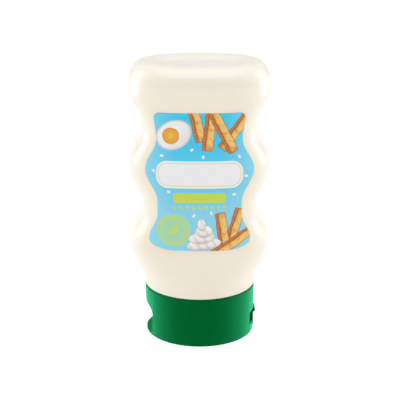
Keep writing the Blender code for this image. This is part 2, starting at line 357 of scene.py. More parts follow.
def bottle_material():
    """Clear squeezable plastic with mayonnaise right behind it, painted paler towards the top as painted top
    light.
    """
    made, tree, shader, where = new_material("bottle_plastic")
    colour = tinted(tree, MAYONNAISE, noise(tree, where, *MAYONNAISE_CLOUD), WARM_REACH, MAYONNAISE_WARM)
    # Painted top light: the colour turns paler towards the top of the bottle
    colour = tinted(tree, colour, separated(tree, where)["Z"], PAINTED_TOP_LIGHT_REACH, MAYONNAISE_PAINTED_TOP_LIGHT)
    feed(tree, shader.inputs["Base Color"], colour)
    finish_surface(tree, shader, where, BOTTLE_GLOSS, BOTTLE_RELIEF)
    set_values(shader, BOTTLE_VALUES)
    return made


def cap_material():
    """Satin moulded plastic with a fine even grain."""
    made, tree, shader, where = new_material("cap_plastic")
    cloud = noise(tree, where, *GREEN_CLOUD)
    feed(tree, shader.inputs["Base Color"], mix_colours(tree, cloud, GREEN, GREEN_DEEP))
    finish_surface(tree, shader, where, CAP_GLOSS, CAP_RELIEF)
    set_values(shader, CAP_VALUES)
    return made


# Shapes printed on the labels, in millimetres across and up the label

PRINT_EDGE = 0.16
PRINT_LINE = 0.2
SKY = [
    (0.0, rgb(130, 206, 234)),
    (0.3, rgb(124, 203, 234)),
    (0.46, rgb(100, 197, 231)),
    (0.64, rgb(72, 195, 234)),
    (0.8, rgb(48, 192, 234)),
    (1.0, rgb(44, 192, 235)),
]
SKY_EDGE = rgb(136, 208, 234)
SKY_RISE = (LABEL_BOTTOM / MM, LABEL_TOP / MM, 0.0, 1.0)
SKY_SIDES = (10.98, 24.4, 0.0, 0.75)
PLAQUE = rgb(238, 236, 240)
BAND = rgb(190, 212, 60)
CRUST = rgb(98, 40, 24)
SKIN = rgb(158, 72, 20)
SKIN_LIGHT = rgb(190, 104, 32)
GOLD = rgb(218, 138, 38)
FLESH = rgb(238, 188, 82)
FLESH_PALE = rgb(234, 194, 124)
CREAM_LIGHT = rgb(246, 243, 238)
CREAM = rgb(230, 225, 219)
CREAM_SHADE = rgb(184, 169, 157)
EGG_WHITE = rgb(240, 238, 234)
EGG_SHADE = rgb(206, 202, 200)
YOLK_RIM = rgb(196, 112, 20)
YOLK = rgb(234, 156, 28)
YOLK_LIGHT = rgb(246, 194, 66)
SEAL = rgb(156, 208, 156)
SEAL_LINE = rgb(186, 216, 84)
PANEL_LINE = rgb(140, 182, 200)


def placed(tree, spot, centre, turn=0.0, size=(1.0, 1.0)):
    """Coordinates about a centre, turned and measured in units of a size."""
    made = add_node(tree, "ShaderNodeMapping", vector_type="TEXTURE")
    feed(tree, made.inputs["Vector"], spot)
    made.inputs["Location"].default_value = (*centre, 0.0)
    made.inputs["Rotation"].default_value = (0.0, 0.0, radians(turn))
    made.inputs["Scale"].default_value = (*size, 1.0)
    return made.outputs["Vector"]


def inside(tree, distance, reach):
    """1 where a distance is under a reach, with a soft edge, both in millimetres."""
    over = maths(tree, "SUBTRACT", reach + PRINT_EDGE / 2, distance)
    return maths(tree, "DIVIDE", over, PRINT_EDGE, clamp=True)


def oval(tree, spot, centre, half_size, turn=0.0):
    """The mask of an oval."""
    smaller = min(half_size)
    size = (half_size[0] / smaller, half_size[1] / smaller)
    around = placed(tree, spot, centre, turn, size)
    return inside(tree, vector_maths(tree, "LENGTH", around), smaller)


def round_line(tree, spot, centre, radius, half_line):
    """The mask of a round line."""
    distance = vector_maths(tree, "LENGTH", placed(tree, spot, centre))
    off_line = maths(tree, "ABSOLUTE", maths(tree, "SUBTRACT", distance, radius))
    return inside(tree, off_line, half_line)


def bar_mask(tree, around, half_size, corner):
    """The mask of a bar with round corners, in coordinates about its centre."""
    core = (half_size[0] - corner, half_size[1] - corner, 0.0)
    folded = vector_maths(tree, "SUBTRACT", vector_maths(tree, "ABSOLUTE", around), core)
    outside = vector_maths(tree, "MAXIMUM", folded, (0.0, 0.0, 0.0))
    return inside(tree, vector_maths(tree, "LENGTH", outside), corner)


def printed_bar(tree, spot, colour, centre, half_size, corner, fill, turn=0.0):
    """A bar with round corners, printed over a colour."""
    mask = bar_mask(tree, placed(tree, spot, centre, turn), half_size, corner)
    return mix_colours(tree, mask, colour, fill)


def printed_oval(tree, spot, colour, centre, half_size, fill, turn=0.0):
    return mix_colours(tree, oval(tree, spot, centre, half_size, turn), colour, fill)


def wobbly(tree, around, scale, amount):
    """Coordinates pushed about a little, for edges that a knife or an oven left uneven."""
    push = add_node(tree, "ShaderNodeTexNoise")
    feed(tree, push.inputs["Vector"], around)
    push.inputs["Scale"].default_value = scale
    push.inputs["Detail"].default_value = 2.0
    centred = vector_maths(tree, "SUBTRACT", push.outputs["Color"], (0.5, 0.5, 0.5))
    return vector_maths(tree, "ADD", around, vector_maths(tree, "MULTIPLY", centred, (amount, amount, 0.0)))


STICK_HALF_WIDTH = 2.45
STICK_CORNER = 0.7
STICK_WOBBLE = (0.22, 1.3)
STICK_END = 3.4
STICK_END_SHARE = 0.7
STICK_PATCH_NOISE = (0.42, 4.0)
STICK_PATCHES = (0.5, 0.68, 0.0, 0.8)
STICK_CRUMB_NOISE = (2.6, 3.0)
STICK_CRUMBS = [((0.54, 0.7, 0.0, 0.5), GOLD), ((0.34, 0.46, 0.5, 0.0), FLESH_PALE)]
STICK_FACE = [
    (0.0, SKIN),
    (0.12, SKIN_LIGHT),
    (0.27, SKIN),
    (0.31, CRUST),
    (0.36, GOLD),
    (0.48, FLESH),
    (0.7, FLESH_PALE),
    (0.9, FLESH),
    (1.0, GOLD),
]


def potato_stick(tree, spot, colour, centre, length, turn):
    """A fried stick: a dark line round it, a browned side and a golden face with toasted spots."""
    around = placed(tree, spot, centre, turn)
    shaped = wobbly(tree, vector_maths(tree, "ADD", around, (*centre, 0.0)), *STICK_WOBBLE)
    shaped = vector_maths(tree, "SUBTRACT", shaped, (*centre, 0.0))
    across, along = split(tree, shaped)
    face = ramp(tree, spread(tree, across, -STICK_HALF_WIDTH, STICK_HALF_WIDTH, 0.0, 1.0), STICK_FACE)
    end = (length / 2 - STICK_END, length / 2, 0.0, STICK_END_SHARE)
    face = tinted(tree, face, maths(tree, "ABSOLUTE", along), end, SKIN_LIGHT)
    face = tinted(tree, face, noise(tree, around, *STICK_PATCH_NOISE), STICK_PATCHES, SKIN_LIGHT)
    crumb = noise(tree, around, *STICK_CRUMB_NOISE)
    for reach, tint in STICK_CRUMBS:
        face = tinted(tree, face, crumb, reach, tint)
    outer = bar_mask(tree, shaped, (STICK_HALF_WIDTH, length / 2), STICK_CORNER)
    inner_half = (STICK_HALF_WIDTH - PRINT_LINE, length / 2 - PRINT_LINE)
    inner = bar_mask(tree, shaped, inner_half, STICK_CORNER - PRINT_LINE)
    colour = mix_colours(tree, outer, colour, CRUST)
    return mix_colours(tree, inner, colour, face)


def stick_heap(tree, spot, colour, sticks):
    for centre, length, turn in sticks:
        colour = potato_stick(tree, spot, colour, centre, length, turn)
    return colour


EGG_HALF_SIZE = (8.3, 6.4)
EGG_FACE = [(0.0, EGG_WHITE), (0.86, EGG_WHITE), (0.95, EGG_SHADE), (1.0, CREAM_SHADE)]
EGG_SHADE_SHARE = 0.75
YOLK_RADIUS = 3.7
YOLK_SHIFT = (-1.3, -0.4)
YOLK_WOBBLE = (0.5, 0.8)
YOLK_CRUMB_NOISE = (2.2, 3.0)
YOLK_CRUMBS = [((0.5, 0.7, 0.0, 0.6), YOLK_RIM), ((0.32, 0.45, 0.6, 0.0), YOLK_LIGHT)]
YOLK_FACE = [(0.0, YOLK_LIGHT), (0.55, YOLK), (0.86, YOLK), (0.95, YOLK_RIM), (1.0, YOLK_RIM)]


def boiled_egg(tree, spot, colour, centre, turn):
    """Half a boiled egg, cut face to the front, with a shaded rim and a crumbly yolk."""
    small = min(EGG_HALF_SIZE)
    size = (EGG_HALF_SIZE[0] / small, EGG_HALF_SIZE[1] / small)
    around = placed(tree, spot, centre, turn, size)
    from_middle = vector_maths(tree, "LENGTH", around)
    white = ramp(tree, spread(tree, from_middle, 0.0, small, 0.0, 1.0), EGG_FACE)
    across, along = split(tree, placed(tree, spot, centre))
    low_side = (0.0, 2 * small, 0.0, EGG_SHADE_SHARE)
    white = tinted(tree, white, maths(tree, "SUBTRACT", across, along), low_side, EGG_SHADE)
    colour = mix_colours(tree, inside(tree, from_middle, small), colour, white)
    middle = (centre[0] + YOLK_SHIFT[0], centre[1] + YOLK_SHIFT[1])
    about = wobbly(tree, placed(tree, spot, middle), *YOLK_WOBBLE)
    distance = vector_maths(tree, "LENGTH", about)
    yolk = ramp(tree, spread(tree, distance, 0.0, YOLK_RADIUS, 0.0, 1.0), YOLK_FACE)
    crumb = noise(tree, about, *YOLK_CRUMB_NOISE)
    for reach, tint in YOLK_CRUMBS:
        yolk = tinted(tree, yolk, crumb, reach, tint)
    return mix_colours(tree, inside(tree, distance, YOLK_RADIUS), colour, yolk)


SWIRL_LAYERS = 4
SWIRL_HALF_WIDTH = 7.8
SWIRL_NARROWS = 1.95
SWIRL_RISE = 3.0
SWIRL_HALF_HEIGHT = 2.9
SWIRL_SHIFT = 0.5
SWIRL_TURN = 7
SWIRL_SLANT = (1.7, 0.8)
SWIRL_RIDGES = (0.2, 1.0, 0.0, 0.45)
SWIRL_FACE = [(0.0, CREAM_SHADE), (0.3, CREAM), (0.65, CREAM_LIGHT), (0.9, CREAM_LIGHT), (1.0, CREAM)]


def cream_swirl(tree, spot, colour, foot):
    """A piped swirl of cream: layers that get smaller upwards, with slanting ridges and a shaded foot."""
    for step in range(SWIRL_LAYERS):
        half_width = SWIRL_HALF_WIDTH - SWIRL_NARROWS * step
        centre = (foot[0] + SWIRL_SHIFT * (-1) ** step, foot[1] + SWIRL_RISE * step)
        across, along = split(tree, placed(tree, spot, centre, SWIRL_TURN))
        face = ramp(tree, spread(tree, along, -SWIRL_HALF_HEIGHT, SWIRL_HALF_HEIGHT, 0.0, 1.0), SWIRL_FACE)
        slants = [maths(tree, "MULTIPLY", part, pace) for part, pace in zip((across, along), SWIRL_SLANT)]
        ridges = maths(tree, "SINE", maths(tree, "ADD", *slants))
        face = tinted(tree, face, ridges, SWIRL_RIDGES, CREAM_SHADE)
        outer = (half_width, SWIRL_HALF_HEIGHT)
        inner = (half_width - PRINT_LINE, SWIRL_HALF_HEIGHT - PRINT_LINE)
        colour = printed_oval(tree, spot, colour, centre, outer, CREAM_SHADE, SWIRL_TURN)
        colour = printed_oval(tree, spot, colour, centre, inner, face, SWIRL_TURN)
    return colour


SEAL_RADIUS = 7.6
SEAL_SHARE = 0.85
SEAL_RINGS = [(7.2, 0.26), (4.7, 0.15)]
SEAL_DASH_RADIUS = 5.95
SEAL_DASH_HALF = 0.5
SEAL_DASHES = 22
SEAL_DASH_ENDS = (-0.2, 0.2, 0.0, 1.0)
LEAF_TURN = 52
LEAF_BEND = 5.0
LEAF_OFFSET = 3.4
MIDRIB_HALF_SIZE = (3.6, 0.13)
MIDRIB_CORNER = 0.1
VEIN_PLACES = (-1.0, 0.5, 2.0)
VEIN_OFFSET = 0.55
VEIN_HALF_SIZE = (0.75, 0.1)
VEIN_CORNER = 0.08
VEIN_TURN = 45


def leaf_seal(tree, spot, colour, centre):
    """A plain round seal: two rings, a ring of dashes and a leaf with its veins."""
    disc = maths(tree, "MULTIPLY", oval(tree, spot, centre, (SEAL_RADIUS, SEAL_RADIUS)), SEAL_SHARE)
    colour = mix_colours(tree, disc, colour, SEAL)
    for radius, half_line in SEAL_RINGS:
        colour = mix_colours(tree, round_line(tree, spot, centre, radius, half_line), colour, SEAL_LINE)
    across, along = split(tree, placed(tree, spot, centre))
    angle = maths(tree, "ARCTAN2", along, across)
    waves = maths(tree, "SINE", maths(tree, "MULTIPLY", angle, SEAL_DASHES))
    dashes = spread(tree, waves, *SEAL_DASH_ENDS)
    band = round_line(tree, spot, centre, SEAL_DASH_RADIUS, SEAL_DASH_HALF)
    colour = mix_colours(tree, maths(tree, "MULTIPLY", band, dashes), colour, SEAL_LINE)
    about = placed(tree, spot, centre, LEAF_TURN)
    sides = [oval(tree, about, (0.0, side * LEAF_OFFSET), (LEAF_BEND, LEAF_BEND)) for side in (-1, 1)]
    colour = mix_colours(tree, maths(tree, "MULTIPLY", *sides), colour, SEAL_LINE)
    colour = printed_bar(tree, about, colour, (0.0, 0.0), MIDRIB_HALF_SIZE, MIDRIB_CORNER, SEAL)
    for place in VEIN_PLACES:
        for side in (-1, 1):
            middle = (place, side * VEIN_OFFSET)
            turn = side * VEIN_TURN
            colour = printed_bar(tree, about, colour, middle, VEIN_HALF_SIZE, VEIN_CORNER, SEAL, turn)
    return colour


def sky_ground(tree, spot):
    """The printed ground: deeper blue at the top, paler below and towards the sides."""
    across, up = split(tree, spot)
    sky = ramp(tree, spread(tree, up, *SKY_RISE), SKY)
    return tinted(tree, sky, maths(tree, "ABSOLUTE", across), SKY_SIDES, SKY_EDGE)


def label_coordinates(tree, where, side):
    """Millimetres across and up the label, as someone who faces it sees them."""
    parts = separated(tree, where)
    joined = add_node(tree, "ShaderNodeCombineXYZ")
    feed(tree, joined.inputs["X"], maths(tree, "MULTIPLY", parts["X"], -side / MM))
    feed(tree, joined.inputs["Y"], maths(tree, "MULTIPLY", parts["Z"], 1 / MM))
    return joined.outputs["Vector"]


def label_film(name, side, print_layers):
    """Printed film with a soft gloss, under a set of printed layers."""
    made, tree, shader, where = new_material(name)
    spot = label_coordinates(tree, where, side)
    feed(tree, shader.inputs["Base Color"], print_layers(tree, spot))
    finish_surface(tree, shader, where, LABEL_GLOSS, LABEL_RELIEF)
    set_values(shader, LABEL_VALUES)
    return made


STICKS_ABOVE = [
    ((-1.6, 107.6), 20.0, 14),
    ((16.6, 103.6), 22.0, -38),
    ((4.6, 104.6), 21.0, -7),
    ((10.4, 102.6), 21.0, 27),
]
STICKS_BELOW = [
    ((15.6, 58.2), 19.0, -17),
    ((10.4, 56.6), 18.0, 8),
    ((14.4, 51.0), 22.0, -58),
]
EGG_CENTRE = (-11.4, 101.2)
EGG_TURN = 28
SWIRL_FOOT = (1.4, 51.0)
SEAL_CENTRE = (-11.6, 57.4)
SPECKS = [
    (-16.8, 91.6),
    (-3.4, 94.6),
    (1.6, 91.4),
    (17.6, 91.2),
    (-13.8, 75.2),
    (15.4, 74.0),
    (-2.6, 64.4),
    (5.2, 65.6),
    (-20.6, 84.4),
    (20.8, 82.0),
]
SPECK_HALF_SIZE = (0.75, 0.5)
SPECK_CORNER = 0.2
SPECK_TURN = 40
PLAQUE_CENTRE = (0.0, 83.2)
PLAQUE_HALF_SIZE = (19.4, 6.2)
PLAQUE_CORNER = 5.2
PLAQUE_INSET = 0.9
PLAQUE_LINE = 0.28
BAND_CENTRE = (0.0, 72.6)
BAND_HALF_SIZE = (11.6, 2.2)
BAND_CORNER = 0.9
DOT_COUNT = 9
DOT_SPACING = 2.8
DOT_HEIGHT = 68.2
DOT_RADIUS = 0.72


def framed_bar(tree, spot, colour, centre, half_size, corner, fill, line):
    """A bar with a thin line of another colour just inside its edge."""
    colour = printed_bar(tree, spot, colour, centre, half_size, corner, fill)
    for inset, look in ((PLAQUE_INSET, line), (PLAQUE_INSET + PLAQUE_LINE, fill)):
        smaller = (half_size[0] - inset, half_size[1] - inset)
        colour = printed_bar(tree, spot, colour, centre, smaller, corner - inset, look)
    return colour


def front_print(tree, spot):
    """Sky with fried sticks, half an egg and a cream swirl, round a bare plaque and band."""
    colour = sky_ground(tree, spot)
    colour = stick_heap(tree, spot, colour, STICKS_ABOVE)
    colour = boiled_egg(tree, spot, colour, EGG_CENTRE, EGG_TURN)
    colour = stick_heap(tree, spot, colour, STICKS_BELOW)
    colour = cream_swirl(tree, spot, colour, SWIRL_FOOT)
    colour = leaf_seal(tree, spot, colour, SEAL_CENTRE)
    for number, centre in enumerate(SPECKS):
        turn = SPECK_TURN * number
        colour = printed_bar(tree, spot, colour, centre, SPECK_HALF_SIZE, SPECK_CORNER, PLAQUE, turn)
    colour = framed_bar(tree, spot, colour, PLAQUE_CENTRE, PLAQUE_HALF_SIZE, PLAQUE_CORNER, PLAQUE, BAND)
    colour = printed_bar(tree, spot, colour, BAND_CENTRE, BAND_HALF_SIZE, BAND_CORNER, BAND)
    for step in range(DOT_COUNT):
        across = (step - (DOT_COUNT - 1) / 2) * DOT_SPACING
        colour = printed_oval(tree, spot, colour, (across, DOT_HEIGHT), (DOT_RADIUS, DOT_RADIUS), BAND)
    return colour


HEADING_CENTRE = (0.0, 91.8)
HEADING_HALF_SIZE = (14.2, 2.8)
PANEL_CENTRE = (0.0, 70.8)
PANEL_HALF_SIZE = (16.4, 15.2)
PANEL_CORNER = 2.2
RULE_COUNT = 6
RULE_START = 60.2
RULE_SPACING = 4.3
RULE_HALF_SIZE = (13.6, 0.14)
RULE_CORNER = 0.1


def back_print(tree, spot):
    """The same sky and upper sticks, with a plain band and a bare panel that is ruled like a table."""
    colour = sky_ground(tree, spot)
    colour = stick_heap(tree, spot, colour, STICKS_ABOVE)
    colour = printed_bar(tree, spot, colour, HEADING_CENTRE, HEADING_HALF_SIZE, PANEL_CORNER, BAND)
    colour = framed_bar(tree, spot, colour, PANEL_CENTRE, PANEL_HALF_SIZE, PANEL_CORNER, PLAQUE, BAND)
    for step in range(RULE_COUNT):
        centre = (0.0, RULE_START + RULE_SPACING * step)
        colour = printed_bar(tree, spot, colour, centre, RULE_HALF_SIZE, RULE_CORNER, PANEL_LINE)
    return colour


# Shapes, worked out as the solids are and divided more finely


def mesh_object(name, mesh_maker, look):
    """Turns a bmesh into a named object with outward faces and smooth shading on its round parts."""
    bmesh.ops.recalc_face_normals(mesh_maker, faces=mesh_maker.faces)
    mesh = bpy.data.meshes.new(name)
    mesh_maker.to_mesh(mesh)
    mesh_maker.free()
    mesh.materials.append(look)
    mesh.shade_smooth()
    mesh.set_sharp_from_angle(angle=SHARP_ANGLE)
    made = bpy.data.objects.new(name, mesh)
    bpy.context.scene.collection.objects.link(made)
    return made


def ease(part):
    """Runs smoothly from 0 to 1, level at both ends."""
    return (1 - cos(pi * min(max(part, 0.0), 1.0))) / 2


def outline_at(turns, height):
    """The half size at a height, easing from each turn of an outline to the next."""
    if height <= turns[0][0]:
        return turns[0][1]
    for (low, low_size), (high, high_size) in zip(turns, turns[1:]):
        if height <= high:
            return low_size + (high_size - low_size) * ease((height - low) / (high - low))
    return turns[-1][1]


def power_at(height):
    """The superellipse power of the cross section at a height."""
    squareness = (BULGE_HALF - outline_at(SIDE_TURNS, height)) / (BULGE_HALF - WAIST_HALF)
    oval_power = BULGE_POWER + (WAIST_POWER - BULGE_POWER) * min(squareness, 1.0)
    rise = ease((height - ROUND_UP_TO) / (OVAL_FROM - ROUND_UP_TO))
    return NECK_POWER + (oval_power - NECK_POWER) * rise


def section(height, inset=0.0):
    """Half width, half depth and power of the body's cross section at a height."""
    half_width = outline_at(SIDE_TURNS, height) - inset
    half_depth = outline_at(FRONT_TURNS, height) - inset
    return half_width, half_depth, power_at(height)


def ring_angles():
    """Even angles about the axis with how proud each stands, and the mould's parting line at both sides."""
    at_sides = (0, BOTTLE_SIDES // 2)
    steps = [step for step in range(BOTTLE_SIDES) if step not in at_sides]
    angles = [(2 * pi * step / BOTTLE_SIDES, 0.0) for step in steps]
    narrow = PARTING_HALF_WIDTH / BULGE_HALF
    for side in (0.0, pi):
        angles.append((side, PARTING_HEIGHT))
        for step in PARTING_STEPS:
            angles.append(((side + step * narrow) % (2 * pi), 0.0))
    return sorted(angles)


def ring_points(angles, height, half_width, half_depth, power):
    """One closed ring of the bottle."""
    points = []
    for angle, proud in angles:
        across = abs(cos(angle)) / half_width
        along = abs(sin(angle)) / half_depth
        radius = (across ** power + along ** power) ** (-1 / power) + proud
        points.append((radius * cos(angle), radius * sin(angle), height))
    return points


def loft(mesh_maker, rings):
    """Joins rings of equal length with faces and closes both ends."""
    made = [[mesh_maker.verts.new(point) for point in ring] for ring in rings]
    count = len(made[0])
    for low, high in zip(made, made[1:]):
        for step in range(count):
            after = (step + 1) % count
            mesh_maker.faces.new((low[step], low[after], high[after], high[step]))
    mesh_maker.faces.new(list(reversed(made[0])))
    mesh_maker.faces.new(made[-1])


def bottle_rings():
    """The bottle's rings, from the spigot in the cap up to the dished base on top."""
    angles = ring_angles()
    plain = [(angle, 0.0) for angle, _ in angles]
    foot = SEAM + GAP
    spigot = (SPIGOT_RADIUS, SPIGOT_RADIUS, NECK_POWER)
    rings = [ring_points(plain, SEAM - SPIGOT_LENGTH + GAP, *spigot), ring_points(plain, foot, *spigot)]
    for step in range(EDGE_STEPS):
        turn = step / EDGE_STEPS * pi / 2
        height = foot + NECK_EDGE_RADIUS * (1 - cos(turn))
        rings.append(ring_points(plain, height, *section(height, NECK_EDGE_RADIUS * (1 - sin(turn)))))
    start = foot + NECK_EDGE_RADIUS
    for step in range(BOTTLE_STEPS):
        height = start + (CORNER_START - start) * step / BOTTLE_STEPS
        rings.append(ring_points(angles, height, *section(height)))
    for step in range(CORNER_STEPS + 1):
        turn = step / CORNER_STEPS * pi / 2
        height = CORNER_START + CORNER_HEIGHT * sin(turn)
        rings.append(ring_points(angles, height, *section(height, CORNER_WIDTH * (1 - cos(turn)))))
    for step in range(DISH_STEPS + 1):
        part = step / DISH_STEPS
        height = BOTTLE_TOP - DISH_DEPTH * ease(part)
        inset = CORNER_WIDTH + STANDING_RING + DISH_WALL * part
        rings.append(ring_points(plain, height, *section(BOTTLE_TOP, inset)))
    return rings


def make_bottle(look):
    mesh_maker = bmesh.new()
    loft(mesh_maker, bottle_rings())
    made = mesh_object("bottle_body", mesh_maker, look)
    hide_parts("bottle")
    return made


def make_pinch_line(look):
    """The low ridge across the base where the mould pinched the plastic off, mostly sunk in the base."""
    middle = BOTTLE_TOP - DISH_DEPTH - PINCH_SUNK
    rings = []
    for step in range(PINCH_STEPS + 1):
        along = 2 * step / PINCH_STEPS - 1
        taper = max(1 - along ** PINCH_TAPER_POWER, PINCH_TIP)
        ring = []
        for side in range(PINCH_SIDES):
            turn = 2 * pi * side / PINCH_SIDES
            across = taper * PINCH_HALF_WIDTH * cos(turn)
            height = middle + taper * PINCH_HALF_HEIGHT * sin(turn)
            ring.append((along * PINCH_HALF_LENGTH, across, height))
        rings.append(ring)
    mesh_maker = bmesh.new()
    loft(mesh_maker, rings)
    return mesh_object("base_pinch_line", mesh_maker, look)


def turned(mesh_maker, profile, sides):
    """Turns a profile of (radius, height) points about the axis and closes its first and last ring."""
    rings = []
    for radius, height in profile:
        angles = [2 * pi * step / sides for step in range(sides)]
        rings.append([(radius * cos(angle), radius * sin(angle), height) for angle in angles])
    loft(mesh_maker, rings)


def extruded_across(mesh_maker, outline, half_width):
    """A block with an (x, z) outline, from -half_width to +half_width along Y."""
    near = [mesh_maker.verts.new((x, -half_width, z)) for x, z in outline]
    far = [mesh_maker.verts.new((x, half_width, z)) for x, z in outline]
    count = len(outline)
    for step in range(count):
        after = (step + 1) % count
        mesh_maker.faces.new((near[step], near[after], far[after], far[step]))
    mesh_maker.faces.new(near)
    mesh_maker.faces.new(list(reversed(far)))


def extruded_up(mesh_maker, outline, low, high):
    """A block with an (x, y) outline between two heights."""
    loft(mesh_maker, [[(x, y, low) for x, y in outline], [(x, y, high) for x, y in outline]])


def combine(target, other, operation):
    """Cuts or joins another shape, which is then removed."""
    change = target.modifiers.new(operation.lower(), "BOOLEAN")
    change.object = other
    change.operation = operation
    change.solver = "EXACT"
    settle(target)
    bpy.data.objects.remove(other, do_unlink=True)


def round_edges(target):
    """Rounds the sharp edges of a moulded piece by a hair."""
    change = target.modifiers.new("rounding", "BEVEL")
    change.width = EDGE_ROUNDING
    change.segments = EDGE_SEGMENTS
    change.limit_method = "ANGLE"
    change.angle_limit = SHARP_ANGLE
    change.use_clamp_overlap = True
    change.harden_normals = True
    settle(target)


def settle(target):
    """Applies a piece's modifiers to its mesh."""
    graph = bpy.context.evaluated_depsgraph_get()
    graph.update()
    mesh = bpy.data.meshes.new_from_object(target.evaluated_get(graph))
    target.modifiers.clear()
    target.data = mesh


def cap_profile():
    """The cap's outer wall and its deck, with pockets for the bottle above and the lid below."""
    pocket_floor = SEAM - CAP_POCKET_DEPTH
    return [
        (LID_POCKET_RADIUS - FLOOR_BORDER, LID_POCKET_DEPTH),
        (LID_POCKET_RADIUS, LID_POCKET_DEPTH),
        (LID_POCKET_RADIUS, 0.0),
        (CAP_FOOT_RADIUS - CAP_FOOT_BEVEL, 0.0),
        (CAP_FOOT_RADIUS, CAP_FOOT_BEVEL),
        (CAP_TOP_RADIUS, SEAM - CAP_TOP_BEVEL),
        (CAP_TOP_RADIUS - CAP_TOP_BEVEL, SEAM),
        (CAP_POCKET_RADIUS, SEAM),
        (CAP_POCKET_RADIUS, pocket_floor),
        (CAP_POCKET_RADIUS - FLOOR_BORDER, pocket_floor),
    ]


def scoop_outline():
    """The thumb scoop from the front: upright above the lip, then a quarter oval out to the cap's wall."""
    outside = 2 * CAP_TOP_RADIUS
    outline = [(-outside, -LID_POCKET_DEPTH), (-SCOOP_FACE, -LID_POCKET_DEPTH)]
    for step in range(SCOOP_STEPS + 1):
        turn = step / SCOOP_STEPS * pi / 2
        reach = (CAP_TOP_RADIUS - SCOOP_FACE) * (1 - cos(turn))
        rise = (SCOOP_TOP - SCOOP_STRAIGHT_TO) * sin(turn)
        outline.append((-SCOOP_FACE - reach, SCOOP_STRAIGHT_TO + rise))
    outline.append((-outside, SCOOP_TOP))
    return outline


def window_block(mesh_maker, half_width, top):
    """A block that cuts the cap's wall away on the hinge side, up to a height."""
    outside = 2 * CAP_TOP_RADIUS
    low = -LID_POCKET_DEPTH
    corners = [(WINDOW_FACE, low), (outside, low), (outside, top), (WINDOW_FACE, top)]
    extruded_across(mesh_maker, corners, half_width)


def make_cap(look):
    mesh_maker = bmesh.new()
    turned(mesh_maker, cap_profile(), CAP_SIDES)
    cap = mesh_object("cap_shell", mesh_maker, look)
    mesh_maker = bmesh.new()
    extruded_across(mesh_maker, scoop_outline(), CAP_TOP_RADIUS)
    combine(cap, mesh_object("thumb_scoop_cutter", mesh_maker, look), "DIFFERENCE")
    for half_width, top in ((WINDOW_HALF_WIDTH, WINDOW_TOP), (STRAP_HALF_WIDTH + GAP, STRAP_WINDOW_TOP)):
        mesh_maker = bmesh.new()
        window_block(mesh_maker, half_width, top)
        combine(cap, mesh_object("window_cutter", mesh_maker, look), "DIFFERENCE")
    round_edges(cap)
    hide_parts("cap")
    return cap


def lid_profile():
    """The lid's round plate, with a shallow dish in the face that looks down."""
    dish_top = LID_FOOT + LID_DISH_DEPTH
    return [
        (LID_DISH_RADIUS - FLOOR_BORDER, dish_top),
        (LID_DISH_RADIUS - LID_DISH_DEPTH, dish_top),
        (LID_DISH_RADIUS, LID_FOOT),
        (LID_RADIUS, LID_FOOT),
        (LID_RADIUS, LID_TOP),
        (LID_DISH_RADIUS, LID_TOP),
    ]


def arc_outline(radius, half_width, side, chord):
    """A slice of a disc seen from above, cut off straight at half_width to each side and at a chord in x."""
    half_angle = asin(half_width / radius)
    angles = [half_angle * (2 * step / ARC_STEPS - 1) for step in range(ARC_STEPS + 1)]
    points = [(side * radius * cos(angle), radius * sin(angle)) for angle in angles]
    points.append((side * chord, half_width))
    points.append((side * chord, -half_width))
    return points


def round_bar(mesh_maker, middle, height, radius, half_width, sides):
    """A round bar along Y."""
    angles = [2 * pi * step / sides for step in range(sides)]
    outline = [(middle + radius * cos(angle), height + radius * sin(angle)) for angle in angles]
    extruded_across(mesh_maker, outline, half_width)


def make_lip(look):
    """The slice of the lid that stands out to the cap's outer wall, hollowed on top for the thumb."""
    chord = SCOOP_FACE + LIP_GAP
    reach = sqrt(CAP_FOOT_RADIUS ** 2 - chord ** 2)
    mesh_maker = bmesh.new()
    extruded_up(mesh_maker, arc_outline(CAP_FOOT_RADIUS, reach, -1, chord), LID_FOOT, LID_TOP)
    lip = mesh_object("lip_shape", mesh_maker, look)
    mesh_maker = bmesh.new()
    bar_height = LID_FOOT + LIP_FLOOR + LIP_SCOOP_RADIUS
    round_bar(mesh_maker, -LIP_SCOOP_MIDDLE, bar_height, LIP_SCOOP_RADIUS, CAP_FOOT_RADIUS, CAP_SIDES)
    combine(lip, mesh_object("lip_scoop_cutter", mesh_maker, look), "DIFFERENCE")
    return lip


def make_heel(look):
    """The block on the lid's hinge side that fills the cap's wall under the windows."""
    mesh_maker = bmesh.new()
    outline = arc_outline(CAP_FOOT_RADIUS, WINDOW_HALF_WIDTH - GAP, 1, WINDOW_FACE + GAP)
    extruded_up(mesh_maker, outline, LID_FOOT, HEEL_TOP)
    return mesh_object("heel_shape", mesh_maker, look)


def make_strap(look):
    """The upright hinge band that crosses the window."""
    outer = CAP_FOOT_RADIUS + STRAP_PROUD
    inner = outer - STRAP_THICKNESS
    mesh_maker = bmesh.new()
    corners = [(inner, STRAP_FOOT), (outer, STRAP_FOOT), (outer, ROLL_HEIGHT), (inner, ROLL_HEIGHT)]
    extruded_across(mesh_maker, corners, STRAP_HALF_WIDTH)
    return mesh_object("strap_shape", mesh_maker, look)


def make_roll(look):
    """The rounded bead on the band's upper end, where the hinge bends."""
    mesh_maker = bmesh.new()
    round_bar(mesh_maker, CAP_FOOT_RADIUS, ROLL_HEIGHT, ROLL_RADIUS, STRAP_HALF_WIDTH - GAP, ROLL_STEPS)
    return mesh_object("roll_shape", mesh_maker, look)


def make_flip_lid(look):
    """The shut lid: a plate, a thumb lip at -X and a heel, band and bead for the hinge at +X."""
    mesh_maker = bmesh.new()
    turned(mesh_maker, lid_profile(), CAP_SIDES)
    lid = mesh_object("lid_plate", mesh_maker, look)
    for make_shape in (make_lip, make_heel, make_strap, make_roll):
        combine(lid, make_shape(look), "UNION")
    round_edges(lid)
    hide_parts("flip_lid")
    return lid


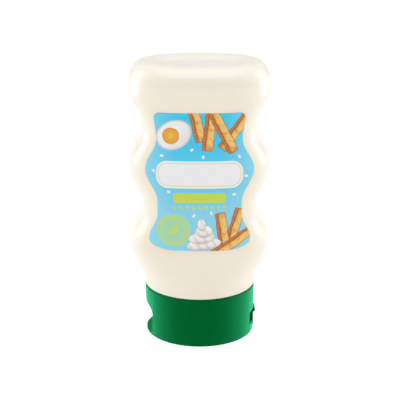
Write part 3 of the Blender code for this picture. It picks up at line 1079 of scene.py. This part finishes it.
def corner_inset(from_edge, corner):
    """How far a rounded corner of a (width, height) draws in the side, at a distance from the level edge."""
    width, height = corner
    into = max(1 - from_edge / height, 0.0)
    return width * (1 - sqrt(1 - into ** 2))


def label_half_width(height):
    """A label's half width at a height, with its corners rounded off."""
    top_inset = corner_inset(LABEL_TOP - height, LABEL_TOP_CORNER)
    bottom_inset = corner_inset(height - LABEL_BOTTOM, LABEL_BOTTOM_CORNER)
    return outline_at(LABEL_TURNS, height) - top_inset - bottom_inset


def skin_point(x, height, proud, side):
    """A point on the bottle's front (side -1) or back (side 1), moved out from it."""
    half_width, half_depth, power = section(height, -proud)
    depth = half_depth * (1 - (abs(x) / half_width) ** power) ** (1 / power)
    return (x, side * depth, height)


def rim_of(rows):
    """The corners round the edge of a grid, in order."""
    right = [row[-1] for row in rows[1:]]
    left = [row[0] for row in rows[1:-1]]
    return rows[0] + right + list(reversed(rows[-1][:-1])) + list(reversed(left))


def make_label(node, side, look):
    """A film that follows the bottle's skin."""
    mesh_maker = bmesh.new()
    sheets = []
    for proud in (LABEL_LIFT, LABEL_LIFT + LABEL_THICKNESS):
        rows = []
        for row in range(LABEL_ROWS + 1):
            height = LABEL_BOTTOM + (LABEL_TOP - LABEL_BOTTOM) * ease(row / LABEL_ROWS)
            reach = label_half_width(height)
            spots = [reach * (2 * step / LABEL_COLUMNS - 1) for step in range(LABEL_COLUMNS + 1)]
            rows.append([mesh_maker.verts.new(skin_point(x, height, proud, side)) for x in spots])
        sheets.append(rows)
        for low, high in zip(rows, rows[1:]):
            for step in range(LABEL_COLUMNS):
                mesh_maker.faces.new((low[step], low[step + 1], high[step + 1], high[step]))
    inner, outer = [rim_of(rows) for rows in sheets]
    for step in range(len(inner)):
        after = (step + 1) % len(inner)
        mesh_maker.faces.new((inner[step], inner[after], outer[after], outer[step]))
    made = mesh_object(node + "_film", mesh_maker, look)
    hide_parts(node)
    return made


# Studio

FLOOR_HALF = 12.0
FLOOR_VALUES = {
    "Base Color": (0.22, 0.22, 0.22, 1.0),
    "Roughness": 0.9,
    "Specular IOR Level": 0.0,
    "Emission Color": WHITE,
    "Emission Strength": 1.08,
}
SIDE_LIGHT_AWAY = 0.47
SIDE_LIGHT_BACK = 0.19
SIDE_LIGHT_TURN = radians(112)
SIDE_LIGHT_SIZE = (0.28, 0.5)
SIDE_LIGHT_POWER = 1.2
TOP_LIGHT_PLACE = (0.0, -0.25, 1.1)
TOP_LIGHT_SIZE = (1.2, 1.2)
TOP_LIGHT_POWER = 8.8
ROOM_TURNS = (-0.9, 0.3)
ROOM_FRONT = 0.36
ROOM_BACK = 0.62
ROOM_SEEN = 1.4
FILM_RANGE = 1.2
ALL_CHANNELS = 3
FILM_CURVE = [(0.0, 0.0), (0.5, 0.6), (0.75, 0.84), (0.88, 0.94), (1.0, 1.0)]


def make_floor():
    """A pale table that glows a little, as a lit product table does."""
    mesh_maker = bmesh.new()
    signs = [(-1, -1), (1, -1), (1, 1), (-1, 1)]
    mesh_maker.faces.new([mesh_maker.verts.new((x * FLOOR_HALF, y * FLOOR_HALF, 0.0)) for x, y in signs])
    look = bpy.data.materials.new("pale_table")
    look.use_nodes = True
    set_values(look.node_tree.nodes["Principled BSDF"], FLOOR_VALUES)
    mesh_object("table_top", mesh_maker, look)


def add_light(name, place, turn, size, power):
    data = bpy.data.lights.new(name, "AREA")
    data.shape = "RECTANGLE"
    data.size, data.size_y = size
    data.energy = power
    made = bpy.data.objects.new(name, data)
    made.location = place
    made.rotation_euler = turn
    made.visible_camera = False
    bpy.context.scene.collection.objects.link(made)


def make_lights():
    """A tall soft box at each side, behind the bottle and turned towards it, and one overhead."""
    middle = SIDE_LIGHT_SIZE[1] / 2
    for side, name in ((-1, "left_soft_box"), (1, "right_soft_box")):
        place = (side * SIDE_LIGHT_AWAY, SIDE_LIGHT_BACK, middle)
        turn = (radians(90), 0.0, side * SIDE_LIGHT_TURN)
        add_light(name, place, turn, SIDE_LIGHT_SIZE, SIDE_LIGHT_POWER)
    add_light("top_soft_box", TOP_LIGHT_PLACE, (0.0, 0.0, 0.0), TOP_LIGHT_SIZE, TOP_LIGHT_POWER)


def make_room():
    """White surroundings that are dimmer in front, where the photographer stands."""
    world = bpy.data.worlds.new("studio_room")
    bpy.context.scene.world = world
    world.use_nodes = True
    tree = world.node_tree
    toward = add_node(tree, "ShaderNodeTexCoord").outputs["Generated"]
    lit = spread(tree, separated(tree, toward)["Y"], *ROOM_TURNS, ROOM_FRONT, ROOM_BACK)
    seen = add_node(tree, "ShaderNodeLightPath").outputs["Is Camera Ray"]
    strength = maths(tree, "MAXIMUM", lit, maths(tree, "MULTIPLY", seen, ROOM_SEEN))
    feed(tree, tree.nodes["Background"].inputs["Strength"], strength)
    tree.nodes["Background"].inputs["Color"].default_value = WHITE


def make_camera():
    data = bpy.data.cameras.new("camera")
    data.lens = CAMERA_LENS
    data.sensor_width = SENSOR_WIDTH
    made = bpy.data.objects.new("camera", data)
    made.location = CAMERA_PLACE
    made.rotation_euler = (pi / 2 - CAMERA_DOWN, 0.0, 0.0)
    bpy.context.scene.collection.objects.link(made)
    bpy.context.scene.camera = made


def set_film():
    """A soft shoulder, as a camera has, so that the pale bottle keeps its colour beside a white table."""
    view = bpy.context.scene.view_settings
    view.view_transform = "Standard"
    view.use_curve_mapping = True
    mapping = view.curve_mapping
    mapping.white_level = (FILM_RANGE, FILM_RANGE, FILM_RANGE)
    curve = mapping.curves[ALL_CHANNELS]
    while len(curve.points) < len(FILM_CURVE):
        curve.points.new(1.0, 1.0)
    for point, place in zip(curve.points, FILM_CURVE):
        point.location = place
    mapping.update()


def make_object():
    """Every piece of the bottle, each attached to the root."""
    bottle_look = bottle_material()
    cap_look = cap_material()
    made = [
        (make_bottle(bottle_look), "bottle_plastic"),
        (make_pinch_line(bottle_look), "bottle_plastic"),
        (make_cap(cap_look), "cap_plastic"),
        (make_flip_lid(cap_look), "cap_plastic"),
        (make_label("label_front", -1, label_film("label_front_film", -1, front_print)), "label_film"),
        (make_label("label_back", 1, label_film("label_back_film", 1, back_print)), "label_film"),
    ]
    for piece, slot_name in made:
        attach(piece, "root")


set_film()
make_object()
make_floor()
make_lights()
make_room()
make_camera()
